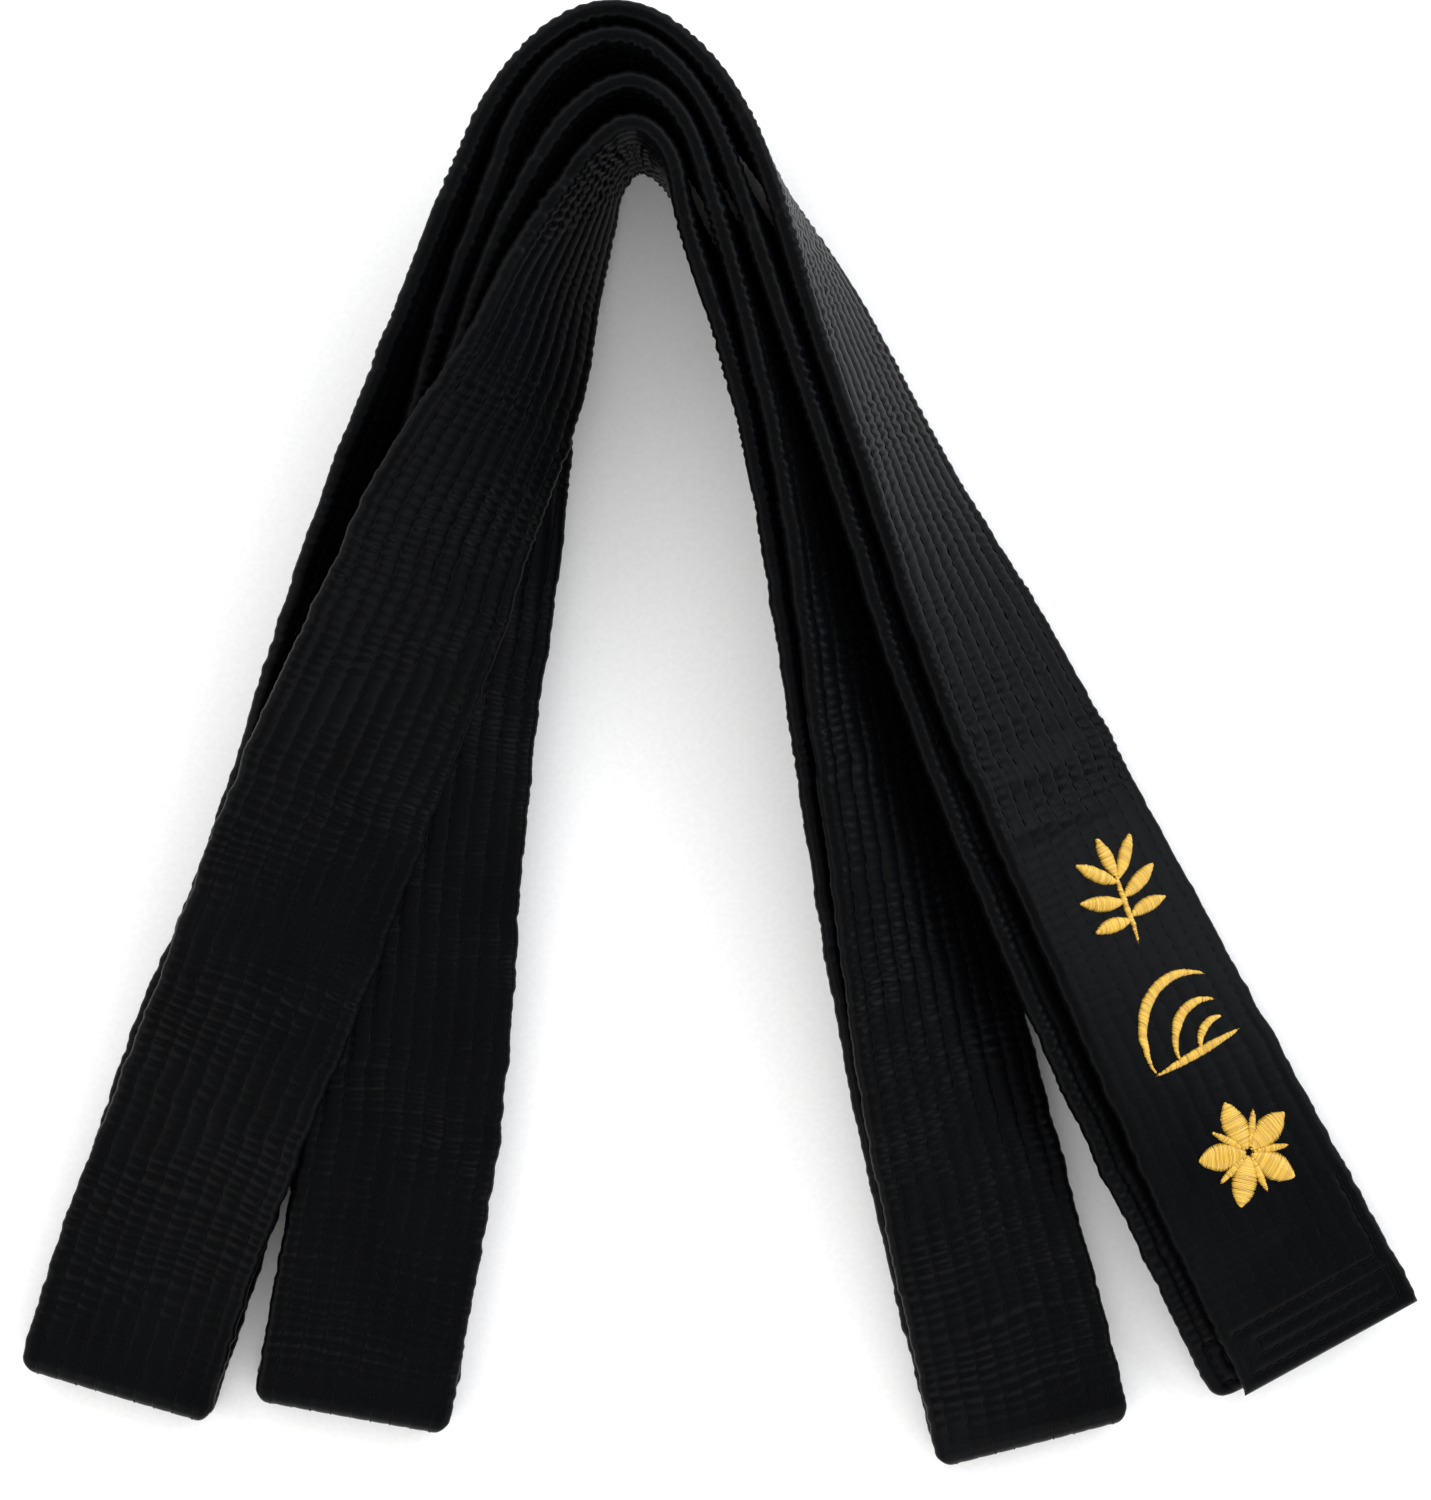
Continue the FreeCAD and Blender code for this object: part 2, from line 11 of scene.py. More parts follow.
import bpy
import numpy as np
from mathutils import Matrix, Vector


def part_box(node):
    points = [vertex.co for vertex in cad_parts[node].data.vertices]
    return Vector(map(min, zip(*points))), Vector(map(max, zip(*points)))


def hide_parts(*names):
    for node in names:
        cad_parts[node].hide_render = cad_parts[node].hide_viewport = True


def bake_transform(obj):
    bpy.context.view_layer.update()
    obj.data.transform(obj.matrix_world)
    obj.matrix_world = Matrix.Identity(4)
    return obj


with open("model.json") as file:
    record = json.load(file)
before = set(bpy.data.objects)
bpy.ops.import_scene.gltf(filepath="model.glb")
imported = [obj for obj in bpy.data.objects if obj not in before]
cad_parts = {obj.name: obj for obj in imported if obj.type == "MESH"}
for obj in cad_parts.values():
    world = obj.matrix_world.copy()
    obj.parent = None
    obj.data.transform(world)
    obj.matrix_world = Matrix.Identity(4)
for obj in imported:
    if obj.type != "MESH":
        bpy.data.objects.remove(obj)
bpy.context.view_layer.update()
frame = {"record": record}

MM = 0.001
UP = np.array([0.0, 0.0, 1.0])

# The belt's own sizes, as in the CAD model.
WIDTH = 45.0
THICKNESS = 4.4
FOLD_GAP = 0.6
FOLD_RADIUS = (THICKNESS + FOLD_GAP) / 2
ORIGIN = np.array([0.2, -0.2, 0.0])

# Stations of each strand, as in the CAD model: east, north, lean in degrees, lowest edge.
STATIONS = {
    1: [
        (-136.4, -143.2, 0, -0.12), (-129.4, -121.8, 0, -0.12), (-122.2, -100, 0.5, -0.05),
        (-113.6, -74, 3, 0.2), (-102, -47, 8, 0.4), (-85, 3, 24, 0), (-73.9, 45, 43, 0),
        (-60.6, 93, 64, 0), (-50.2, 129.3, 77, 0), (-38.2, 150.6, 81, 0), (-22, 158.3, 82, 0),
        (-5.5, 151.2, 87, 0), (9.6, 131, 93, 0), (23.4, 103.2, 106, 0), (40.7, 64, 117, 0),
        (61.9, 19, 135, 0.5), (83.2, -25, 145, 1.5), (105.6, -70, 156, 2.7), (128, -114, 170, 4.2),
        (139.6, -136, 177, 4.3),
    ],
    2: [
        (-83, -148, 0, 0), (-76.3, -110, 6, 0), (-71.8, -80, 8.5, 0), (-69.1, -45, 10, 0.2),
        (-64.4, 10, 22, 0.3), (-58.8, 45, 37, 0), (-53.6, 75, 52, 0), (-49.4, 100, 64, 0),
        (-44.7, 121.2, 74, 0), (-35.9, 143.5, 79, 0), (-22, 152.5, 81, 0), (-8, 145.3, 86, 0),
        (4.6, 125.4, 93, 0), (18.1, 99, 106, 0), (34.5, 62, 117, 0), (55, 17, 135, 0),
        (75.5, -28, 145, 0), (98.5, -74, 156, 0), (121.8, -117, 170, 0), (133.2, -139.4, 178, 0),
    ],
    3: [
        (-83, -148, 0, 5), (-75.8, -110, 6, 4.9), (-71, -80, 8.5, 4.9), (-68, -45, 10, 5.1),
        (-61.4, 12, 22, 5.5), (-53.7, 47, 37, 4.2), (-47.5, 77, 52, 2.5), (-42.2, 104, 65, 1),
        (-35.2, 125.8, 75, 0), (-28.1, 138, 81, 0), (-18.8, 143.5, 84, 0), (-9.7, 138.4, 87, 0),
        (-2.6, 126.6, 92, 0), (2.8, 114.7, 97, 0), (13.4, 93, 110, 1.2), (26.3, 55, 124, 2.7),
        (35.7, 14, 137, 3.5), (43.4, -29, 144, 4.1), (52, -74, 156, 4.7), (62.8, -120, 168, 5.2),
        (71, -154, 180, 5.2),
    ],
    4: [
        (-136.4, -143.2, 0, 4.88), (-121.6, -100, -4, 8.2), (-110, -72, -6, 12.5),
        (-98.6, -44, 2, 17.5), (-83.8, -7, 16, 17.3), (-65.8, 34, 31, 17.5), (-56.2, 57, 41, 15.8),
        (-47.4, 74, 50, 12.8), (-40.9, 90, 59, 9), (-36.3, 105, 67, 5), (-29.6, 121, 77, 0.8),
        (-25.3, 130.1, 83, 0), (-18.3, 135, 86, 0), (-11.3, 130.4, 89, 0), (-7.3, 120.8, 93, 0),
        (-2.6, 109.5, 98, 0), (8.2, 90, 110, 0), (21.3, 54, 124, 0), (31.7, 12, 137, 0),
        (39.8, -30, 144, 0), (50, -74, 156, 0), (61.8, -120, 168, 0), (71, -154, 180, 0),
    ],
}


def petals(reach, bulge, first):
    """Five strokes out from the middle of an ornament, the first at an angle in degrees."""
    strokes = []
    for petal in range(5):
        turn = math.radians(first + 72 * petal)
        east, north = math.cos(turn), math.sin(turn)
        strokes.append((0.03 * east, 0.03 * north, reach * east, reach * north, bulge, bulge))
    return strokes


# Embroidered ornaments, as in the CAD model: distance of the centre from the tip, and strokes
# (start, end, bulge to the left, bulge to the right) as shares of ORNAMENT_SIZE.
ORNAMENT_SIZE = 25.0
ORNAMENT_OFFSET = 2.6
ORNAMENTS = {
    "leaf_sprig_ornament": (115.4, [
        (-0.07, -0.50, 0.05, 0.22, 0.030, 0.030),
        (0.04, 0.12, 0.02, 0.52, 0.080, 0.080),
        (0.03, 0.10, 0.40, 0.42, 0.060, 0.080),
        (0.03, 0.08, -0.34, 0.40, 0.080, 0.060),
        (0.00, -0.06, 0.49, 0.08, 0.060, 0.085),
        (0.00, -0.10, -0.47, 0.08, 0.085, 0.060),
        (-0.03, -0.24, 0.43, -0.24, 0.080, 0.055),
        (-0.03, -0.28, -0.45, -0.22, 0.055, 0.080),
    ]),
    "wave_ornament": (84.4, [
        (-0.50, -0.38, 0.50, -0.38, 0.040, 0.045),
        (-0.47, -0.38, 0.44, 0.20, 0.460, -0.350),
        (-0.20, -0.38, 0.40, -0.04, 0.270, -0.175),
        (0.04, -0.38, 0.38, -0.20, 0.130, -0.050),
    ]),
    "blossom_ornament": (49.4, [*petals(0.50, 0.125, 90), *petals(0.40, 0.035, 54)]),
}

# Quilting: lengthwise rows of stitches, and the ripples that they pull into the satin.
ROWS = 9
ROW_PITCH = 4.6
ROW_DEPTH = 0.27
ROW_HALF_WIDTH = 0.5
LANE_CROWN = 0.13
BASE_HALF = THICKNESS / 2 - 0.2
THINNEST_HALF = 1.08
RIPPLE_PITCH = 2.4
RIPPLE_HEIGHT = 0.19
STITCH_PITCH = 2.8
STITCH_SHARE = 0.78
STITCH_RADIUS = 0.21

# The squared spiral of stitching that closes each tip.
SPIRAL_PITCH = 3.6
SPIRAL_MARGIN = 3.4
SPIRAL_LEAD = 21.0
SPIRAL_DEPTH = 0.40
SPIRAL_HALF_WIDTH = 0.62

# Rounding of the corners, seen from above.
PLAIN_CORNER = 4.5
FOLD_CORNER = 2.0

# How far apart the ribbon's sections are.
STEP = 0.62

# A length that keeps a division by nothing away.
SHORT = 1e-9


# ---------------------------------------------------------------- the ribbon's path

class Curve:
    """A smooth cubic curve through values at places; its end slopes fit the nearest four."""

    def __init__(self, places, values):
        self.x = np.asarray(places, float)
        self.y = np.asarray(values, float)
        x, y = self.x, self.y
        count = len(x)
        gap = np.diff(x)
        rise = np.diff(y, axis=0) / gap[:, None]
        matrix = np.zeros((count, count))
        right = np.zeros_like(y)
        matrix[0, 0] = matrix[-1, -1] = 1
        right[0] = self.end_slope(x[:4], y[:4], x[0])
        right[-1] = self.end_slope(x[-4:], y[-4:], x[-1])
        for i in range(1, count - 1):
            matrix[i, i - 1:i + 2] = gap[i], 2 * (gap[i - 1] + gap[i]), gap[i - 1]
            right[i] = 3 * (gap[i] * rise[i - 1] + gap[i - 1] * rise[i])
        self.slopes = np.linalg.solve(matrix, right)

    @staticmethod
    def end_slope(x, y, at):
        powers = np.vander(x - at, 4, increasing=True)
        return np.linalg.solve(powers, y)[1]

    def __call__(self, at):
        """The values and slopes at some places."""
        at = np.asarray(at, float)
        i = np.clip(np.searchsorted(self.x, at) - 1, 0, len(self.x) - 2)
        gap = (self.x[i + 1] - self.x[i])[:, None]
        t = (at - self.x[i])[:, None] / gap
        y0, y1 = self.y[i], self.y[i + 1]
        m0, m1 = self.slopes[i] * gap, self.slopes[i + 1] * gap
        value = (
            (1 + 2 * t) * (1 - t) ** 2 * y0 + t * (1 - t) ** 2 * m0
            + t * t * (3 - 2 * t) * y1 + t * t * (t - 1) * m1
        )
        slope = (
            6 * t * (t - 1) * (y0 - y1) + (1 - t) * (1 - 3 * t) * m0 + t * (3 * t - 2) * m1
        ) / gap
        return value, slope


def unit(vectors):
    return vectors / np.linalg.norm(vectors, axis=-1, keepdims=True)


class Strand:
    """A strand's middle line and its section frames."""

    def __init__(self, stations):
        stations = np.array(stations, float)
        lean = np.radians(stations[:, 2])
        rise = np.abs(np.sin(lean)) * WIDTH / 2 + np.abs(np.cos(lean)) * THICKNESS / 2
        points = np.column_stack([stations[:, :2], stations[:, 3] + rise]) - ORIGIN
        steps = np.hypot(*np.diff(points[:, :2], axis=0).T)
        places = np.concatenate([[0], np.cumsum(steps)])
        self.length = places[-1]
        self.line = Curve(places, points)
        self.lean = Curve(places, lean[:, None])

    def heading(self, at):
        along = self.line(at)[1].copy()
        along[:, 2] = 0
        return unit(along)

    def frames(self, at, start_heading=None, end_heading=None, reach=20.0):
        """Middle points, width directions and inner-face normals at some places.

        Near a hairpin the heading eases over to the one that both of its strands share.
        """
        heading = self.heading(at)
        for shared, away in ((start_heading, at), (end_heading, self.length - at)):
            if shared is not None:
                share = np.clip(1 - away / reach, 0, 1)[:, None] ** 2
                heading = unit(heading * (1 - share) + shared * share)
        lean = self.lean(at)[0]
        left = np.column_stack([-heading[:, 1], heading[:, 0], np.zeros(len(at))])
        across = left * np.cos(lean) + UP * np.sin(lean)
        return self.line(at)[0], across, np.cross(heading, across)


strands = {number: Strand(stations) for number, stations in STATIONS.items()}


def shared_heading(first, second, at_start):
    """The heading that two strands share at the fold that joins them."""
    total = sum(
        strands[n].heading(np.array([0.0 if at_start else strands[n].length]))[0]
        for n in (first, second)
    )
    return unit(total)


outer_heading = shared_heading(1, 4, True)
inner_heading = shared_heading(2, 3, True)
right_heading = shared_heading(3, 4, False)

# Each strand's eased headings at its start and end, and which way its face A looks:
# 1 to the inside of the arch, -1 to the outside.
ENDS = {
    1: (outer_heading, None), 2: (inner_heading, None),
    3: (inner_heading, right_heading), 4: (outer_heading, right_heading),
}
FACE_A = {1: 1, 2: -1, 3: 1, 4: -1}


def strand_run(number, backwards):
    """The section frames along a whole strand."""
    strand = strands[number]
    count = int(strand.length / STEP)
    at = np.linspace(0, strand.length, count + 1)
    if backwards:
        at = at[::-1]
    middle, across, inner = strand.frames(at, *ENDS[number])
    return middle, across, inner * FACE_A[number]


def hairpin(low, high, heading, at_start):
    """The section frames round a fold, without its two ends, from strand low to strand high; high is not
    used.
    """
    strand = strands[low]
    place = np.array([0.0 if at_start else strand.length])
    middle, across, _ = strand.frames(place, *ENDS[low])
    out = -heading if at_start else heading
    centre = middle[0] + UP * FOLD_RADIUS
    turns = np.radians(np.arange(9, 180, 9.0))[:, None]
    radial = -UP * np.cos(turns) + out * np.sin(turns)
    points = centre + radial * FOLD_RADIUS
    low_face = np.sign(strand.frames(place, *ENDS[low])[2][0, 2]) * FACE_A[low]
    return points, np.repeat(across, len(turns), 0), -radial * low_face


def reverse(run):
    return tuple(part[::-1] for part in run)


runs = [
    strand_run(1, True),
    hairpin(1, 4, outer_heading, True),
    strand_run(4, False),
    hairpin(4, 3, right_heading, False),
    strand_run(3, True),
    reverse(hairpin(2, 3, inner_heading, True)),
    strand_run(2, False),
]
middle, across, face_a = (np.vstack([run[i] for run in runs]) for i in range(3))
belt = np.concatenate([[0], np.cumsum(np.linalg.norm(np.diff(middle, axis=0), axis=1))])
belt_length = belt[-1]
starts = np.cumsum([0] + [len(run[0]) for run in runs])
hairpin_places = [belt[(starts[i] + starts[i + 1]) // 2] for i in (1, 3, 5)]


# ---------------------------------------------------------------- the satin's relief

def smooth(value, low, high):
    """0 below low and 1 above high, with an even change between them."""
    share = np.clip((value - low) / (high - low), 0, 1)
    return share * share * (3 - 2 * share)


def wander(seed, at, wavelength, terms=5):
    """Smooth seeded noise along the belt, about -1 to 1; seed may be an array of lanes."""
    seed = np.asarray(seed, float)
    total = np.zeros(np.broadcast(seed, at).shape)
    for term in range(terms):
        rate = 2 * np.pi / wavelength * (0.55 + 0.31 * term)
        shift = np.modf(np.sin(seed * 12.9898 + term * 78.233) * 43758.5453)[0] * 2 * np.pi
        total += np.sin(at * rate + shift + 0.7 * term * np.sin(at * rate * 0.23 + shift))
    return total / math.sqrt(terms)


def spiral_route():
    """The squared spiral from a tip: distance from the tip and place across."""
    side = WIDTH / 2 - SPIRAL_MARGIN
    first = SPIRAL_MARGIN
    return [
        (first + 3 * SPIRAL_PITCH + SPIRAL_LEAD, -side),
        (first + 3 * SPIRAL_PITCH, -side),
        (first + 3 * SPIRAL_PITCH, side),
        (first, side),
        (first, -side),
        (first + 2 * SPIRAL_PITCH, -side),
        (first + 2 * SPIRAL_PITCH, side - SPIRAL_PITCH),
        (first + SPIRAL_PITCH, side - SPIRAL_PITCH),
        (first + SPIRAL_PITCH, SPIRAL_PITCH - side),
    ]


def spiral_distance(from_tip, u):
    """How far points are from the spiral's nearest line."""
    route = spiral_route()
    nearest = np.full(np.broadcast(from_tip, u).shape, 99.0)
    for (b0, u0), (b1, u1) in zip(route, route[1:]):
        length = (b1 - b0) ** 2 + (u1 - u0) ** 2
        share = np.clip(((from_tip - b0) * (b1 - b0) + (u - u0) * (u1 - u0)) / length, 0, 1)
        away = np.hypot(from_tip - b0 - share * (b1 - b0), u - u0 - share * (u1 - u0))
        nearest = np.minimum(nearest, away)
    return nearest


# Creases across the tail, just before the embroidery: distance from the tip, place across, length
# across, depth, half width along the belt, and slant.
CREASES = [
    (136.0, 4.0, 15.0, 0.50, 1.7, 0.10),
    (141.5, -6.0, 12.0, -0.40, 1.9, -0.06),
    (147.5, 2.0, 16.0, 0.45, 1.8, 0.08),
    (154.0, -3.0, 18.0, -0.30, 2.2, 0.12),
    (162.0, 5.0, 14.0, 0.30, 2.0, -0.10),
    (171.0, -2.0, 16.0, 0.25, 2.4, 0.05),
]
TAIL_END = 190.0

# A shallow dent near the tip: distance from the tip, place across, half length and depth.
DENT = (27.0, 1.0, 3.6, 0.5)
DENT_WIDENING = 1.6


def fold_distance(b):
    """How far along the belt the nearest fold is."""
    return np.min([np.abs(b - place) for place in hairpin_places], axis=0)


def under_embroidery(b, face):
    """1 where the embroidery holds the cloth flat, and 0 on the rest of the belt."""
    return (1 - smooth(b, 130, 142)) * (face < 0)


def relief(b, u, face):
    """Height of the satin over the belt's middle plane; face is 1 for A and -1 for B."""
    b, u = np.broadcast_arrays(np.asarray(b, float), np.asarray(u, float))
    face = np.broadcast_to(face, b.shape)
    lane_place = u / ROW_PITCH + (ROWS - 1) / 2
    nearest_row = np.clip(np.round(lane_place), 0, ROWS - 1)
    from_row = (lane_place - nearest_row) * ROW_PITCH
    lane = np.clip(np.floor(lane_place), -1, ROWS - 1)
    inside = (lane >= 0) & (lane < ROWS - 1)
    in_lane = np.where(inside, lane_place - lane, 0.5)
    crown = np.where(inside, np.sin(np.pi * in_lane) ** 0.75, smooth(np.abs(from_row), 0, 1.6))
    groove = np.exp(-((from_row / ROW_HALF_WIDTH) ** 2))

    from_fold = fold_distance(b)
    open_cloth = smooth(from_fold, 5.0, 16.0)
    slack = 0.3 + 0.7 * smooth(from_fold, 3.0, 12.0)
    from_tip = np.minimum(b, belt_length - b)
    embroidered = 0.88 * under_embroidery(b, face)
    hemmed = (1 - smooth(from_tip, 16, 24)) * 0.6

    seed = lane + 20 + 31 * (face > 0)
    bow = 1.5 * np.sin(0.17 * u + 2.2 * wander(face + 1.1, b, 63.0))
    sway = 1.4 * wander(face * 2 + 9.7, b, 21.0) + 0.9 * wander(seed + 0.5, b, 26.0)
    region = wander(face * 5 + 7.1, b + 0.7 * u, 47.0)
    strength = np.clip(0.8 + 0.55 * region + 0.4 * wander(seed + 7.1, b, 27.0), 0.12, 1.9)
    slant = 0.35 * (in_lane - 0.5) * np.sign(seed % 2 - 0.5)
    phase = 2 * np.pi * b / RIPPLE_PITCH + bow + sway + slant
    ripple = RIPPLE_HEIGHT * strength * (np.sin(phase) + 0.3 * np.sin(0.53 * phase + face))
    calm = (1 - embroidered) * open_cloth * (1 - hemmed)
    height = (
        BASE_HALF
        + LANE_CROWN * crown * (1 - 0.9 * embroidered) * slack
        - ROW_DEPTH * groove * (1 - 0.8 * embroidered) * slack
        + ripple * (0.4 + 0.6 * crown) * calm
        + 0.05 * wander(3.3, b + 2.1 * u, 37.0) * open_cloth
    )
    spiral = np.exp(-((spiral_distance(from_tip, u) / SPIRAL_HALF_WIDTH) ** 2))
    height -= SPIRAL_DEPTH * spiral
    outer_tail = (face < 0) & (b < TAIL_END)
    if outer_tail.any():
        for at, side, length, depth, half, slant in CREASES:
            away = (b - at - slant * (u - side)) / half
            height += outer_tail * depth * np.exp(-(away**2)) * np.exp(-(((u - side) / length) ** 2))
        from_tip, side, half, depth = DENT
        dent = np.exp(-(((b - from_tip) / half) ** 2) - (((u - side) / (DENT_WIDENING * half)) ** 2))
        height -= outer_tail * depth * dent
    return np.maximum(height, THINNEST_HALF)


def outline(b):
    """Shares of the width and of the thickness there are, at the tips and round the folds."""
    from_plain = belt_length - b
    from_fold = fold_distance(b)
    quarter = FOLD_RADIUS * np.pi / 2
    behind_fold = FOLD_RADIUS * (1 - np.cos(np.minimum(from_fold / FOLD_RADIUS, np.pi / 2)))
    behind_fold = behind_fold + np.maximum(from_fold - quarter, 0)
    half = WIDTH / 2
    wide = 1.0
    for corner, behind in ((PLAIN_CORNER, from_plain), (FOLD_CORNER, behind_fold)):
        cut = np.clip(corner - behind, 0, corner)
        wide = wide * (half - corner + np.sqrt(corner**2 - cut**2)) / half
    from_tip = np.minimum(b, from_plain)
    rim = 1.6
    lost = np.clip(rim - from_tip, 0, rim) / rim
    thick = np.sqrt(np.clip(1 - lost**2, 0.0, 1))
    return wide, np.maximum(thick, 0.16)


# ---------------------------------------------------------------- the ribbon's surface

def ring(fine):
    """A section's points: place across, angle round the edge, and face weight.

    It starts on the left edge and runs over face A to the right edge and back over face B.
    """
    side = WIDTH / 2 - BASE_HALF
    if fine:
        shares = np.array([0.0, 0.11, 0.29, 0.5, 0.71, 0.89])
        flats = ((np.arange(ROWS - 1)[:, None] + shares) - (ROWS - 1) / 2).ravel() * ROW_PITCH
        last = (ROWS - 1) / 2 * ROW_PITCH
        margin = last + np.array([0.0, 0.5, 1.2])
        flats = np.concatenate([-margin[:0:-1], flats, margin])
        turns = np.radians([18, 36, 54, 72, 90])
    else:
        flats = np.linspace(-side, side, 12)
        turns = np.radians([45, 90])
    flats = flats[np.abs(flats) < side - 0.2]
    flats = np.concatenate([[-side], flats, [side]])
    across_edge = BASE_HALF * np.cos(turns[:-1])
    upper = [(-side - c, math.sin(t)) for c, t in zip(across_edge, turns[:-1])]
    upper += [(f, 1.0) for f in flats]
    upper += [(side + c, math.sin(t)) for c, t in zip(across_edge[::-1], turns[-2::-1])]
    points = [(-WIDTH / 2, 0.0)] + upper + [(WIDTH / 2, 0.0)] + [(u, -v) for u, v in upper[::-1]]
    return np.array(points)


def edge_sway(b):
    """How far the whole belt wanders to its left."""
    return 0.22 * wander(1.7, b, 23.0) + 0.10 * wander(5.9, b, 7.5)


def surface(index, shape, depth=0.0, rough=True):
    """Vertices (sections, ring, 3) of the ribbon, a depth below its plain outline."""
    b = belt[index][:, None]
    u, lift = shape[:, 0][None], shape[:, 1][None]
    face = np.where(lift >= 0, 1, -1)
    side = WIDTH / 2 - BASE_HALF
    held = np.clip(u, -side, side)
    wide, thick = outline(b)
    if rough:
        height = relief(b, held, face)
        sway = edge_sway(b)
        edge = (u - held) * (1 + 0.05 * wander(np.sign(u) * 3 + 9.0, b, 5.2))
    else:
        height = np.full(np.broadcast(b, u).shape, THICKNESS / 2 - depth)
        sway = np.zeros_like(b)
        edge = (u - held) * (1 - depth / BASE_HALF)
    v = lift * height * thick
    place = (held + edge) * wide + sway
    return (
        middle[index][:, None]
        + across[index][:, None] * place[..., None]
        + face_a[index][:, None] * v[..., None]
    )


def grid_normals(points):
    """Smooth normals of a closed-round grid of points."""
    along = np.gradient(points, axis=0)
    around = np.roll(points, -1, axis=1) - np.roll(points, 1, axis=1)
    normals = np.cross(around, along)
    length = np.linalg.norm(normals, axis=-1, keepdims=True)
    return normals / np.maximum(length, SHORT)


def mesh_object(name, points, faces_by_size, uvs=None, normals=None, material=None):
    """A mesh object from points in millimetres and arrays of faces."""
    mesh = bpy.data.meshes.new(name)
    points = np.asarray(points, float).reshape(-1, 3) * MM
    corners = np.concatenate([faces.ravel() for faces in faces_by_size])
    sizes = np.concatenate([np.full(len(faces), faces.shape[1]) for faces in faces_by_size])
    mesh.vertices.add(len(points))
    mesh.vertices.foreach_set("co", points.astype(np.float32).ravel())
    mesh.loops.add(len(corners))
    mesh.loops.foreach_set("vertex_index", corners.astype(np.int32))
    mesh.polygons.add(len(sizes))
    loop_starts = np.concatenate([[0], np.cumsum(sizes)[:-1]])
    mesh.polygons.foreach_set("loop_start", loop_starts.astype(np.int32))
    mesh.polygons.foreach_set("use_smooth", np.ones(len(sizes), bool))
    mesh.update(calc_edges=True)
    if uvs is not None:
        layer = mesh.uv_layers.new(name="cloth")
        layer.data.foreach_set("uv", np.asarray(uvs, np.float32).ravel())
    mesh.validate()
    if normals is not None:
        mesh.normals_split_custom_set_from_vertices(normals.reshape(-1, 3).tolist())
    obj = bpy.data.objects.new(name, mesh)
    bpy.context.scene.collection.objects.link(obj)
    if material:
        mesh.materials.append(material)
    return obj


def ribbon_object(name, first, last, step, shape, material, depth=0.0, rough=True):
    """One stretch of the ribbon as a closed mesh."""
    index = np.arange(first, last + 1)
    if step > 1:
        index = np.unique(np.concatenate([index[::step], index[-1:]]))
    wider = np.concatenate([[index[0] - 1], index, [index[-1] + 1]])
    wider = np.unique(np.clip(wider, 0, len(belt) - 1))
    points = surface(wider, shape, depth, rough)
    normals = grid_normals(points)
    keep = (wider >= index[0]) & (wider <= index[-1])
    points, normals = points[keep], normals[keep]
    rows, columns = points.shape[:2]
    grid = np.arange(rows * columns).reshape(rows, columns)
    following = np.roll(grid, -1, axis=1)
    quads = np.stack([grid[:-1], following[:-1], following[1:], grid[1:]], -1).reshape(-1, 4)
    half = columns // 2
    left = np.arange(1, half - 1)
    caps, tips = [], []
    for line, flip in ((grid[0], False), (grid[-1], True)):
        cap = np.stack([line[left], line[columns - left], line[columns - left - 1], line[left + 1]], -1)
        tip = np.array([[line[0], line[-1], line[1]], [line[half - 1], line[half + 1], line[half]]])
        caps.append(cap[:, ::-1] if flip else cap)
        tips.append(tip[:, ::-1] if flip else tip)
    caps, tips = np.vstack(caps), np.vstack(tips)
    ring_outline = np.vstack([shape, shape[:1]]) * [1, BASE_HALF]
    ring_steps = np.linalg.norm(np.diff(ring_outline, axis=0), axis=1)
    v = np.concatenate([[0], np.cumsum(ring_steps)])
    uu = np.broadcast_to(belt[index][:, None], (rows, columns + 1))
    vv = np.broadcast_to(v, (rows, columns + 1))
    uv = np.stack([uu, vv], -1) * MM
    quad_uv = np.stack([uv[:-1, :-1], uv[:-1, 1:], uv[1:, 1:], uv[1:, :-1]], 2).reshape(-1, 2)
    flat_uv = uv[:, :-1].reshape(-1, 2)
    uvs = np.vstack([quad_uv, flat_uv[caps.ravel()], flat_uv[tips.ravel()]])
    obj = mesh_object(name, points, [quads, caps, tips], uvs, normals, material)
    return obj, belt[index[-1]] - belt[index[0]]


def on_face(b, u, face, height):
    """Points over a face of the ribbon, and the unit directions along, across and out there."""
    def at(values):
        return np.stack([np.interp(b, belt, values[:, i]) for i in range(3)], -1)

    centre, side, out = at(middle), unit(at(across)), unit(at(face_a)) * np.asarray(face)[..., None]
    point = centre + side * (u + edge_sway(b))[..., None] + out * np.asarray(height)[..., None]
    return point, side, out


